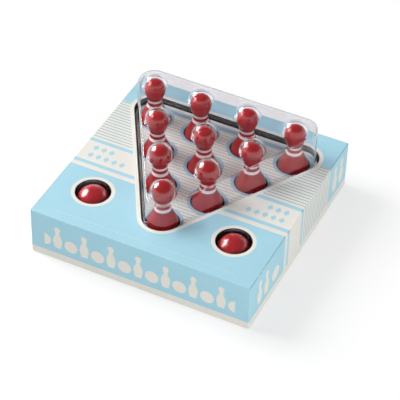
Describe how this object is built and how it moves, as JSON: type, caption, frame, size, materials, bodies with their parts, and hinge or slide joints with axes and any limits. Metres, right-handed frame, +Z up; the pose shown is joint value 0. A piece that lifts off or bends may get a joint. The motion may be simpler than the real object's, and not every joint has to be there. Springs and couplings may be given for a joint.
{
  "type": "bowling drinking game",
  "caption": "Boxed table bowling game: square card box whose lift-off lid shows pins under a clear triangular cover and balls under small clear domes.",
  "frame": {"origin": "centre of the box's underside, where the base tray rests on the table", "axes": "+X to the right along the front side, +Y to the back where the longest row of pins stands, +Z up"},
  "size_m": [0.24, 0.24, 0.1064],
  "materials": {
    "lid_board": "printed paper over rigid board, satin",
    "tray_board": "paper over rigid board, matt",
    "black_sheet": "formed sheet, satin black",
    "guide_card": "printed card, satin",
    "clear_sheet": "clear formed sheet, glossy",
    "red_wood": "red gloss paint on turned wood, two white neck bands on each pin",
    "leaflet_paper": "folded paper, matt"
  },
  "bodies": {
    "case": {"base_tray": "tray_board"},
    "lid": {"lid": "lid_board", "pin_cover": "clear_sheet", "ball_cover_left": "clear_sheet", "ball_cover_right": "clear_sheet"},
    "leaflet": {"instruction_leaflet": "leaflet_paper"},
    "insert": {"insert_tray": "black_sheet"},
    "guide": {"pin_guide": "guide_card"},
    "pin_01": {"pin_01": "red_wood"},
    "pin_02": {"pin_02": "red_wood"},
    "pin_03": {"pin_03": "red_wood"},
    "pin_04": {"pin_04": "red_wood"},
    "pin_05": {"pin_05": "red_wood"},
    "pin_06": {"pin_06": "red_wood"},
    "pin_07": {"pin_07": "red_wood"},
    "pin_08": {"pin_08": "red_wood"},
    "pin_09": {"pin_09": "red_wood"},
    "pin_10": {"pin_10": "red_wood"},
    "ball_left": {"ball_left": "red_wood"},
    "ball_right": {"ball_right": "red_wood"}
  },
  "joints": [
    {"name": "lid_lift", "type": "slide", "parent": "case", "child": "lid", "axis": [0, 0, 1], "range_m": [0, 0.4]},
    {"name": "leaflet_lift", "type": "slide", "parent": "case", "child": "leaflet", "axis": [0, 0, 1], "range_m": [0, 0.06]},
    {"name": "insert_lift", "type": "slide", "parent": "case", "child": "insert", "axis": [0, 0, 1], "range_m": [0, 0.12]},
    {"name": "guide_lift", "type": "slide", "parent": "insert", "child": "guide", "axis": [0, 0, 1], "range_m": [0, 0.03]},
    {"name": "pin_01_lift", "type": "slide", "parent": "insert", "child": "pin_01", "axis": [0, 0, 1], "range_m": [0, 0.1]},
    {"name": "pin_02_lift", "type": "slide", "parent": "insert", "child": "pin_02", "axis": [0, 0, 1], "range_m": [0, 0.1]},
    {"name": "pin_03_lift", "type": "slide", "parent": "insert", "child": "pin_03", "axis": [0, 0, 1], "range_m": [0, 0.1]},
    {"name": "pin_04_lift", "type": "slide", "parent": "insert", "child": "pin_04", "axis": [0, 0, 1], "range_m": [0, 0.1]},
    {"name": "pin_05_lift", "type": "slide", "parent": "insert", "child": "pin_05", "axis": [0, 0, 1], "range_m": [0, 0.1]},
    {"name": "pin_06_lift", "type": "slide", "parent": "insert", "child": "pin_06", "axis": [0, 0, 1], "range_m": [0, 0.1]},
    {"name": "pin_07_lift", "type": "slide", "parent": "insert", "child": "pin_07", "axis": [0, 0, 1], "range_m": [0, 0.1]},
    {"name": "pin_08_lift", "type": "slide", "parent": "insert", "child": "pin_08", "axis": [0, 0, 1], "range_m": [0, 0.1]},
    {"name": "pin_09_lift", "type": "slide", "parent": "insert", "child": "pin_09", "axis": [0, 0, 1], "range_m": [0, 0.1]},
    {"name": "pin_10_lift", "type": "slide", "parent": "insert", "child": "pin_10", "axis": [0, 0, 1], "range_m": [0, 0.1]},
    {"name": "ball_left_lift", "type": "slide", "parent": "insert", "child": "ball_left", "axis": [0, 0, 1], "range_m": [0, 0.05]},
    {"name": "ball_right_lift", "type": "slide", "parent": "insert", "child": "ball_right", "axis": [0, 0, 1], "range_m": [0, 0.05]}
  ],
  "couplings": [
    {"joint": "leaflet_lift", "follows": "lid_lift", "ratio": 0.15},
    {"joint": "insert_lift", "follows": "lid_lift", "ratio": 0.3},
    {"joint": "guide_lift", "follows": "lid_lift", "ratio": 0.075},
    {"joint": "pin_01_lift", "follows": "lid_lift", "ratio": 0.25},
    {"joint": "pin_02_lift", "follows": "lid_lift", "ratio": 0.25},
    {"joint": "pin_03_lift", "follows": "lid_lift", "ratio": 0.25},
    {"joint": "pin_04_lift", "follows": "lid_lift", "ratio": 0.25},
    {"joint": "pin_05_lift", "follows": "lid_lift", "ratio": 0.25},
    {"joint": "pin_06_lift", "follows": "lid_lift", "ratio": 0.25},
    {"joint": "pin_07_lift", "follows": "lid_lift", "ratio": 0.25},
    {"joint": "pin_08_lift", "follows": "lid_lift", "ratio": 0.25},
    {"joint": "pin_09_lift", "follows": "lid_lift", "ratio": 0.25},
    {"joint": "pin_10_lift", "follows": "lid_lift", "ratio": 0.25},
    {"joint": "ball_left_lift", "follows": "lid_lift", "ratio": 0.125},
    {"joint": "ball_right_lift", "follows": "lid_lift", "ratio": 0.125}
  ]
}
